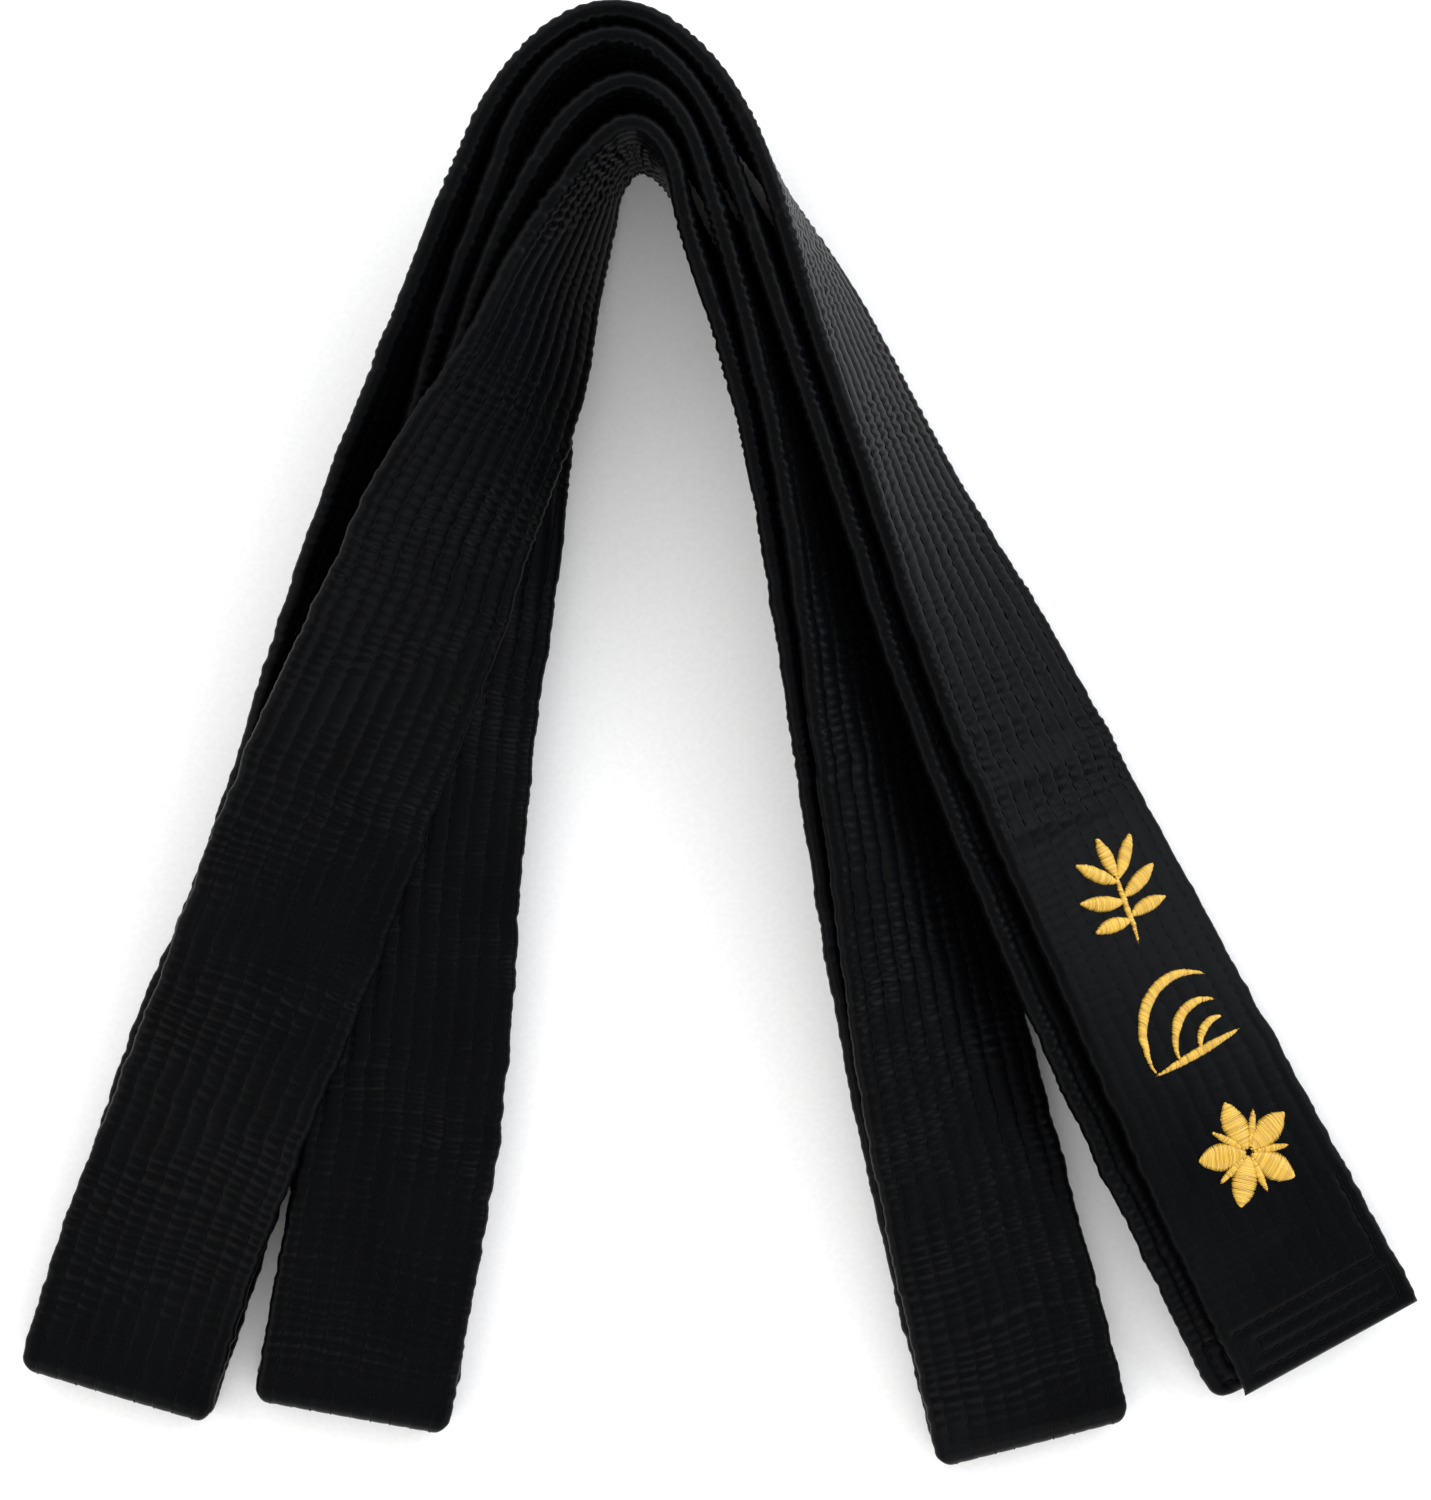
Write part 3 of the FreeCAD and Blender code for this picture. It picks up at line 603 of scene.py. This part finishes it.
def tubes(name, lines, outs, radii, sides, material, flatten=1.0):
    """Thread: closed tubes along rows of points (count, points, 3), tapered by radii."""
    lines = np.asarray(lines, float)
    count, length = lines.shape[:2]
    along = unit(np.gradient(lines, axis=1) + SHORT)
    out = unit(outs - (outs * along).sum(-1, keepdims=True) * along)
    side = np.cross(along, out)
    turns = np.arange(sides) * 2 * np.pi / sides
    spread = (
        side[:, :, None] * np.cos(turns)[:, None] + out[:, :, None] * np.sin(turns)[:, None] * flatten
    )
    points = lines[:, :, None] + spread * np.asarray(radii)[..., None, None]
    grid = np.arange(count * length * sides).reshape(count, length, sides)
    following = np.roll(grid, -1, axis=2)
    quads = np.stack(
        [grid[:, :-1], grid[:, 1:], following[:, 1:], following[:, :-1]], -1
    ).reshape(-1, 4)
    caps = np.vstack([grid[:, 0], grid[:, -1, ::-1]])
    uv_along = np.broadcast_to(np.linspace(0, 1, length)[None, :, None], grid.shape)
    uv_round = np.broadcast_to(turns / (2 * np.pi), grid.shape)
    flat = np.stack([uv_along, uv_round], -1).reshape(-1, 2)
    uvs = np.vstack([flat[quads.ravel()], flat[caps.ravel()]])
    return mesh_object(name, points, [quads, caps], uvs, None, material)


# ---------------------------------------------------------------- materials

def new_material(name):
    """A material, its nodes and links, and its shader."""
    material = bpy.data.materials.new(name)
    material.use_nodes = True
    nodes = material.node_tree.nodes
    return material, nodes, material.node_tree.links, nodes["Principled BSDF"]


def add(nodes, kind, **values):
    """A node with its settings: plain names are properties, others are input sockets."""
    node = nodes.new(kind)
    for key, value in values.items():
        if hasattr(node, key):
            setattr(node, key, value)
        else:
            node.inputs[key.replace("_", " ")].default_value = value
    return node


def colour_between(nodes, links, factor, dark, light, low=0.3, high=0.7):
    """A colour that goes from dark to light as the factor goes from low to high."""
    ramp = add(nodes, "ShaderNodeValToRGB")
    ramp.color_ramp.elements[0].position = low
    ramp.color_ramp.elements[0].color = (*dark, 1)
    ramp.color_ramp.elements[1].position = high
    ramp.color_ramp.elements[1].color = (*light, 1)
    links.new(factor, ramp.inputs["Fac"])
    return ramp.outputs["Color"]


def ranged(nodes, links, factor, low, high):
    """A value between low and high that follows a factor between 0 and 1."""
    node = add(nodes, "ShaderNodeMapRange")
    node.inputs["To Min"].default_value = low
    node.inputs["To Max"].default_value = high
    links.new(factor, node.inputs["Value"])
    return node.outputs["Result"]


def cloth_noise(nodes, links, scale_along, scale_across, detail=3.0):
    """Noise in cloth coordinates, with its own scale along the belt and across it."""
    uv = add(nodes, "ShaderNodeUVMap", uv_map="cloth")
    mapping = add(nodes, "ShaderNodeMapping")
    mapping.inputs["Scale"].default_value = (scale_along, scale_across, 1)
    links.new(uv.outputs["UV"], mapping.inputs["Vector"])
    noise = add(nodes, "ShaderNodeTexNoise")
    noise.inputs["Scale"].default_value = 1.0
    noise.inputs["Detail"].default_value = detail
    links.new(mapping.outputs["Vector"], noise.inputs["Vector"])
    return noise.outputs["Fac"]


def satin_material():
    """Black satin: fine floats of thread across the belt, soft sheen, faint blue-grey bloom."""
    material, nodes, links, shader = new_material("black_satin")
    patch = cloth_noise(nodes, links, 45, 60)
    fleck = cloth_noise(nodes, links, 1500, 1100, 2.0)
    floats = cloth_noise(nodes, links, 5200, 700, 2.0)
    mixed = add(nodes, "ShaderNodeMix", data_type="FLOAT")
    mixed.inputs["Factor"].default_value = 0.55
    links.new(patch, mixed.inputs["A"])
    links.new(fleck, mixed.inputs["B"])
    tone = colour_between(
        nodes, links, mixed.outputs["Result"], (0.0004, 0.0005, 0.0006), (0.0018, 0.0021, 0.0030)
    )
    links.new(tone, shader.inputs["Base Color"])
    links.new(ranged(nodes, links, mixed.outputs["Result"], 0.27, 0.43), shader.inputs["Roughness"])
    shader.inputs["Specular IOR Level"].default_value = 0.045
    shader.inputs["Sheen Weight"].default_value = 0.002
    shader.inputs["Sheen Roughness"].default_value = 0.45
    shader.inputs["Sheen Tint"].default_value = (0.72, 0.82, 1.0, 1)
    bump = add(nodes, "ShaderNodeBump")
    bump.inputs["Strength"].default_value = 0.5
    bump.inputs["Distance"].default_value = 0.00008
    links.new(floats, bump.inputs["Height"])
    links.new(bump.outputs["Normal"], shader.inputs["Normal"])
    return material


def thread_material(name, dark, light, roughness, specular, sheen, twist):
    """Thread: each one its own tone, with the fine twist of its yarn."""
    material, nodes, links, shader = new_material(name)
    geometry = add(nodes, "ShaderNodeNewGeometry")
    tone = colour_between(nodes, links, geometry.outputs["Random Per Island"], dark, light, 0.0, 1.0)
    links.new(tone, shader.inputs["Base Color"])
    fibre = cloth_noise(nodes, links, twist, twist * 0.6, 2.0)
    links.new(ranged(nodes, links, fibre, roughness - 0.1, roughness + 0.12), shader.inputs["Roughness"])
    shader.inputs["Specular IOR Level"].default_value = specular
    shader.inputs["Sheen Weight"].default_value = sheen
    shader.inputs["Sheen Roughness"].default_value = 0.3
    bump = add(nodes, "ShaderNodeBump")
    bump.inputs["Strength"].default_value = 0.35
    bump.inputs["Distance"].default_value = 0.00006
    links.new(fibre, bump.inputs["Height"])
    links.new(bump.outputs["Normal"], shader.inputs["Normal"])
    return material


def woven_material(name, dark, light, scale_along, scale_across, roughness, height):
    """A plain hidden cloth: its weave or needling as colour, roughness and bump."""
    material, nodes, links, shader = new_material(name)
    weave = cloth_noise(nodes, links, scale_along, scale_across, 4.0)
    links.new(colour_between(nodes, links, weave, dark, light), shader.inputs["Base Color"])
    links.new(ranged(nodes, links, weave, roughness - 0.08, roughness + 0.05), shader.inputs["Roughness"])
    bump = add(nodes, "ShaderNodeBump")
    bump.inputs["Strength"].default_value = 0.6
    bump.inputs["Distance"].default_value = height
    links.new(weave, bump.inputs["Height"])
    links.new(bump.outputs["Normal"], shader.inputs["Normal"])
    return material


satin = satin_material()
black_thread = thread_material(
    "black_thread", (0.0004, 0.0004, 0.0006), (0.0016, 0.0018, 0.0024), 0.40, 0.06, 0.004, 60
)
gold_thread = thread_material(
    "gold_thread", (0.46, 0.25, 0.012), (0.72, 0.45, 0.042), 0.32, 0.7, 0.22, 90
)
gold_padding = woven_material(
    "gold_padding", (0.42, 0.17, 0.008), (0.62, 0.28, 0.020), 2600, 2600, 0.6, 0.0001
)
canvas = woven_material("canvas", (0.50, 0.45, 0.36), (0.66, 0.61, 0.52), 1400, 1400, 0.85, 0.0002)
felt = woven_material("felt", (0.55, 0.52, 0.47), (0.74, 0.71, 0.66), 420, 420, 0.92, 0.0004)


# ---------------------------------------------------------------- joints and stretches

joints = {joint["child"]: joint for joint in frame["record"]["behaviour"]["joints"]}
body_nodes = frame["record"]["behaviour"]["bodies"]


def body_middle(body):
    """The middle of a body's CAD box, in metres."""
    boxes = [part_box(node) for node in body_nodes[body]]
    return (np.min([b[0] for b in boxes], 0) + np.max([b[1] for b in boxes], 0)) / 2


def bend(obj, child):
    """Bakes a piece's placement into its mesh; it finds the joint's pivot and the piece's side of it, but
    bends nothing.
    """
    joint = joints[child]
    pivot = np.array(joint["pos_m"])
    along = unit(np.cross(joint["axis"], UP))
    if np.dot(body_middle(child) - pivot, along) < 0:
        along = -along
    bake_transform(obj)


def strand_top(run_number):
    """The index in the belt where a strand passes the top of the arch."""
    part = slice(starts[run_number], starts[run_number + 1])
    return starts[run_number] + int(np.argmax(middle[part][:, 1]))


def nearest_index(point):
    """The index on strand 1 that is nearest to a point, seen from above."""
    part = middle[:starts[1], :2] - np.asarray(point)[:2] / MM
    return int(np.argmin(np.hypot(*part.T)))


tops = [strand_top(i) for i in (0, 2, 4, 6)]
upper_tail_middle = (
    nearest_index(joints["plain_end"]["pos_m"]) + nearest_index(joints["embroidered_end"]["pos_m"])
) // 2

# Each stretch of ribbon: its name, its first and last section, and the free length whose joint it goes
# with.
STRETCHES = [
    ("embroidered_end", 0, upper_tail_middle, "embroidered_end"),
    ("upper_tail", upper_tail_middle, tops[0], "plain_end"),
    ("left_outer_fold", tops[0], tops[1], "left_outer_fold"),
    ("right_fold", tops[1], tops[2], "right_fold"),
    ("left_inner_fold", tops[2], tops[3], "left_inner_fold"),
    ("plain_end", tops[3], len(belt) - 1, "plain_end"),
]

# The CAD nodes whose belt each stretch stands for.
STANDS_FOR = {
    "embroidered_end": ["embroidered_end"],
    "upper_tail": ["upper_tail"],
    "left_outer_fold": ["left_outer_fold", "arch_strand_1"],
    "right_fold": ["right_fold", "arch_strand_4"],
    "left_inner_fold": ["left_inner_fold", "arch_strand_3"],
    "plain_end": ["plain_end", "arch_strand_2"],
}

# The layers inside the cover: material, slot, depth below the plain outline, and section step.
LAYERS = {
    "canvas_wrap": (canvas, "canvas", 1.25, 6),
    "felt_core": (felt, "felt", 1.65, 6),
}
fine_ring, plain_ring = ring(True), ring(False)


def quilting(name, first, last):
    """The stitches of the lengthwise rows, on both faces of a stretch."""
    low, high = max(belt[first], 1.5), min(belt[last], belt_length - 1.5)
    numbers = np.arange(math.ceil(low / STITCH_PITCH), math.floor(high / STITCH_PITCH))
    share = np.array([0.0, 0.22, 0.5, 0.78, 1.0])
    lines, outs = [], []
    for face in (1, -1):
        for row in range(ROWS):
            u = (row - (ROWS - 1) / 2) * ROW_PITCH
            begin = (numbers + 0.37 * (row % 3)) * STITCH_PITCH
            b = begin[:, None] + share * STITCH_PITCH * STITCH_SHARE
            b = np.clip(b, low, high)
            sides = np.full(b.shape, u) + 0.12 * np.sin(numbers * 2.4 + row)[:, None]
            height = relief(b, sides, face) * outline(b)[1] + 0.10 - 0.17 * under_embroidery(b, face)
            height[:, [0, -1]] -= 0.22
            point, _, out = on_face(b, sides, np.full(b.shape, face), height)
            lines.append(point)
            outs.append(out)
    radii = np.array([0.35, 0.9, 1.0, 0.9, 0.35]) * STITCH_RADIUS
    lines, outs = np.concatenate(lines), np.concatenate(outs)
    return tubes(name, lines, outs, np.broadcast_to(radii, lines.shape[:2]), 5, black_thread)


def spiral_stitches(name, plain):
    """The stitches of a tip's squared spiral, on both faces."""
    route = spiral_route()
    share = np.array([0.0, 0.2, 0.5, 0.8, 1.0])
    lines, outs = [], []
    for (b0, u0), (b1, u1) in zip(route, route[1:]):
        length = math.hypot(b1 - b0, u1 - u0)
        count = max(1, round(length / STITCH_PITCH))
        places = (np.arange(count)[:, None] + share * 0.84 + 0.08) / count
        b, u = b0 + (b1 - b0) * places, u0 + (u1 - u0) * places
        b = belt_length - b if plain else b
        for face in (1, -1):
            height = relief(b, u, face) * outline(b)[1] + 0.14
            height[:, [0, -1]] -= 0.24
            point, _, out = on_face(b, u, np.full(b.shape, face), height)
            lines.append(point)
            outs.append(out)
    lines, outs = np.concatenate(lines), np.concatenate(outs)
    radii = np.array([0.4, 0.95, 1.0, 0.95, 0.4]) * STITCH_RADIUS * 1.15
    return tubes(name, lines, outs, np.broadcast_to(radii, lines.shape[:2]), 6, black_thread)


# ---------------------------------------------------------------- embroidery

def arc_points(start, end, bulge, shares):
    """Points along the arc between two points; a positive bulge lies to the left."""
    chord = end - start
    left = np.array([-chord[1], chord[0]]) / np.linalg.norm(chord)
    half = np.linalg.norm(chord) / 2
    radius = (half**2 + bulge**2) / (2 * abs(bulge))
    side = math.copysign(1, bulge)
    centre = (start + end) / 2 + left * (bulge - side * radius)
    sweep = 2 * math.asin(min(1.0, half / radius))
    first = math.atan2(*(start - centre)[::-1])
    angles = first - side * sweep * shares
    return centre + radius * np.column_stack([np.cos(angles), np.sin(angles)])


THREAD_PITCH = 0.36
THREAD_RADIUS = 0.23
THREAD_OUTLINE = np.array([0.5, 0.9, 1, 1, 1, 1, 1, 0.9, 0.5])


def stroke_edges(stroke, count):
    """Points along a stroke's right and left edges, in ornament shares."""
    start, end = np.array(stroke[:2]), np.array(stroke[2:4])
    shares = np.linspace(0.0, 1.0, count)
    left = arc_points(start, end, stroke[4], shares)
    right = arc_points(start, end, -stroke[5], shares)
    return right, left


def on_ornament(before_tip, points, height):
    """Places on the outer face for points of an ornament, raised over the satin."""
    b = before_tip + points[..., 1] * ORNAMENT_SIZE
    u = -(ORNAMENT_OFFSET + points[..., 0] * ORNAMENT_SIZE)
    face = np.full(b.shape, -1)
    point, _, out = on_face(b, u, face, relief(b, u, face) + height)
    return point, out


def thread_rise(span):
    """How high the threads across a span of cloth stand over it."""
    return np.minimum(0.82, 0.30 + 0.16 * span)


def embroidery(label, before_tip, strokes):
    """An ornament in satin stitch: threads side by side over a raised padding."""
    chosen = np.random.default_rng(len(strokes))
    lines, outs, pads, quads = [], [], [], []
    across_shares = np.linspace(0.0, 1.0, 9)
    arch = np.sin(np.pi * across_shares) ** 0.55
    layer = 0.0
    count_before = 0
    for stroke in strokes:
        layer += 0.035
        length = max(
            np.linalg.norm(np.diff(edge, axis=0), axis=1).sum() for edge in stroke_edges(stroke, 40)
        ) * ORNAMENT_SIZE
        count = max(6, round(length / THREAD_PITCH))
        right, left = stroke_edges(stroke, count)
        shift = max(1, round(count * 0.02))
        width = np.linalg.norm(left - right, axis=1) * ORNAMENT_SIZE
        for i in range(count):
            j = min(count - 1, i + (shift if width[i] > 0.8 else 0))
            a = right[i] + chosen.normal(0, 0.0020, 2)
            z = left[j] + chosen.normal(0, 0.0020, 2)
            span = np.linalg.norm(z - a) * ORNAMENT_SIZE
            if span < 0.35:
                continue
            rise = thread_rise(span) + layer + chosen.normal(0, 0.018)
            points = a + (z - a) * across_shares[:, None]
            point, out = on_ornament(before_tip, points, rise * arch - 0.10)
            lines.append(point)
            outs.append(out)
        pad_shares = across_shares[1:-1]
        pad = right[:, None] + (left - right)[:, None] * pad_shares[:, None]
        rise = thread_rise(width)[:, None] + layer
        pad_height = rise * arch[1:-1] - 0.10 - 0.16
        pad_height[:, [0, -1]] = -0.12
        point, _ = on_ornament(before_tip, pad, pad_height)
        rows, columns = point.shape[:2]
        grid = np.arange(rows * columns).reshape(rows, columns) + count_before
        cells = np.stack([grid[:-1, :-1], grid[1:, :-1], grid[1:, 1:], grid[:-1, 1:]], -1)
        quads.append(cells.reshape(-1, 4))
        pads.append(point.reshape(-1, 3))
        count_before += rows * columns
    lines, outs = np.array(lines), np.array(outs)
    radii = np.broadcast_to(THREAD_OUTLINE * THREAD_RADIUS, lines.shape[:2])
    threads = tubes(label, lines, outs, radii, 6, gold_thread, 0.85)
    quads = np.vstack(quads)
    pad_points = np.vstack(pads)
    uvs = np.stack([pad_points[quads.ravel(), 0], pad_points[quads.ravel(), 1]], -1) * MM
    padding = mesh_object(f"{label}_padding", pad_points, [quads], uvs, None, gold_padding)
    return threads, padding


# ---------------------------------------------------------------- the pieces

for name, first, last, child in STRETCHES:
    cover, length = ribbon_object(f"{name}_satin", first, last, 1, fine_ring, satin)
    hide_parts(*(f"{node}_satin_cover" for node in STANDS_FOR[name]))
    rows = quilting(f"{name}_quilting", first, last)
    on_cover = [rows]
    if name in ("embroidered_end", "plain_end"):
        closing = spiral_stitches(f"{name}_end_stitching", name == "plain_end")
        on_cover.append(closing)
        if name == "embroidered_end":
            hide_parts("embroidered_end_stitching")
    if name == "embroidered_end":
        for label, (before_tip, strokes) in ORNAMENTS.items():
            threads, padding = embroidery(label.replace("_ornament", "_embroidery"), before_tip, strokes)
            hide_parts(label)
            for piece in (threads, padding):
                on_cover.append(piece)
    for piece in [cover, *on_cover]:
        bend(piece, child)
    for layer, (material, slot, depth, step) in LAYERS.items():
        inner, length = ribbon_object(
            f"{name}_{layer.split('_')[0]}", first, last, step, plain_ring, material, depth, rough=False
        )
        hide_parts(*(f"{node}_{layer}" for node in STANDS_FOR[name]))
        bend(inner, child)


# ---------------------------------------------------------------- the studio

def floor_material():
    """Plain pale board with the faintest tooth."""
    material, nodes, links, shader = new_material("pale_board")
    coordinates = add(nodes, "ShaderNodeTexCoord")
    noise = add(nodes, "ShaderNodeTexNoise")
    noise.inputs["Scale"].default_value = 900
    links.new(coordinates.outputs["Object"], noise.inputs["Vector"])
    links.new(
        colour_between(nodes, links, noise.outputs["Fac"], (0.90, 0.90, 0.90), (0.94, 0.94, 0.94)),
        shader.inputs["Base Color"],
    )
    shader.inputs["Roughness"].default_value = 0.9
    shader.inputs["Specular IOR Level"].default_value = 0.1
    return material


FLOOR_HALF = 3000.0
FLOOR_LEVEL = -0.25
LIGHT_DISTANCE = 1600.0
LIGHT_SIZE = (2000.0, 900.0)
floor_corners = np.array([[-1, -1], [1, -1], [1, 1], [-1, 1]]) * FLOOR_HALF
floor_points = np.column_stack([floor_corners, np.full(4, FLOOR_LEVEL)])
floor = mesh_object("floor", floor_points, [np.array([[0, 1, 2, 3]])], None, None, floor_material())


def soft_light(name, place, watts, colour):
    """A soft box that looks from a place, in millimetres, at the middle of the belt."""
    light = bpy.data.lights.new(name, "AREA")
    light.shape = "RECTANGLE"
    light.size, light.size_y = LIGHT_SIZE[0] * MM, LIGHT_SIZE[1] * MM
    light.energy = watts
    light.color = colour
    obj = bpy.data.objects.new(name, light)
    bpy.context.scene.collection.objects.link(obj)
    obj.location = np.array(place) * MM
    toward = -Vector(place).normalized()
    obj.rotation_mode = "QUATERNION"
    obj.rotation_quaternion = toward.to_track_quat("-Z", "Y")
    obj.visible_camera = False


def studio():
    """Four large soft boxes low around the belt, so that none is mirrored straight up."""
    for name, turn, elevation, watts, colour in (
        ("right", 45, 27, 24.0, (0.90, 0.95, 1.0)),
        ("back", 125, 27, 14.0, (1.0, 1.0, 1.0)),
        ("left", 210, 27, 11.0, (1.0, 0.98, 0.96)),
        ("front", 300, 27, 11.0, (1.0, 1.0, 1.0)),
    ):
        turn, elevation = math.radians(turn), math.radians(elevation)
        level = LIGHT_DISTANCE * math.cos(elevation)
        place = (level * math.cos(turn), level * math.sin(turn), LIGHT_DISTANCE * math.sin(elevation))
        soft_light(name, place, watts, colour)
    world = bpy.data.worlds.new("studio")
    world.use_nodes = True
    background = world.node_tree.nodes["Background"]
    background.inputs["Color"].default_value = (1, 1, 1, 1)
    background.inputs["Strength"].default_value = 0.8
    bpy.context.scene.world = world


studio()

# The camera looks straight down from arm's length.
CAMERA_HEIGHT = 850.0
VIEW_WIDTH = 328.2
CAMERA_EAST = -0.86
camera_data = bpy.data.cameras.new("camera")
camera_data.sensor_fit = "HORIZONTAL"
camera_data.sensor_width = 36.0
camera_data.lens = camera_data.sensor_width * CAMERA_HEIGHT / VIEW_WIDTH
camera_data.clip_start, camera_data.clip_end = 0.01, 20.0
camera = bpy.data.objects.new("camera", camera_data)
bpy.context.scene.collection.objects.link(camera)
camera.location = (CAMERA_EAST * MM, 0.0, CAMERA_HEIGHT * MM)
bpy.context.scene.camera = camera
bpy.context.scene.view_settings.view_transform = "Standard"
bpy.context.scene.view_settings.look = "None"
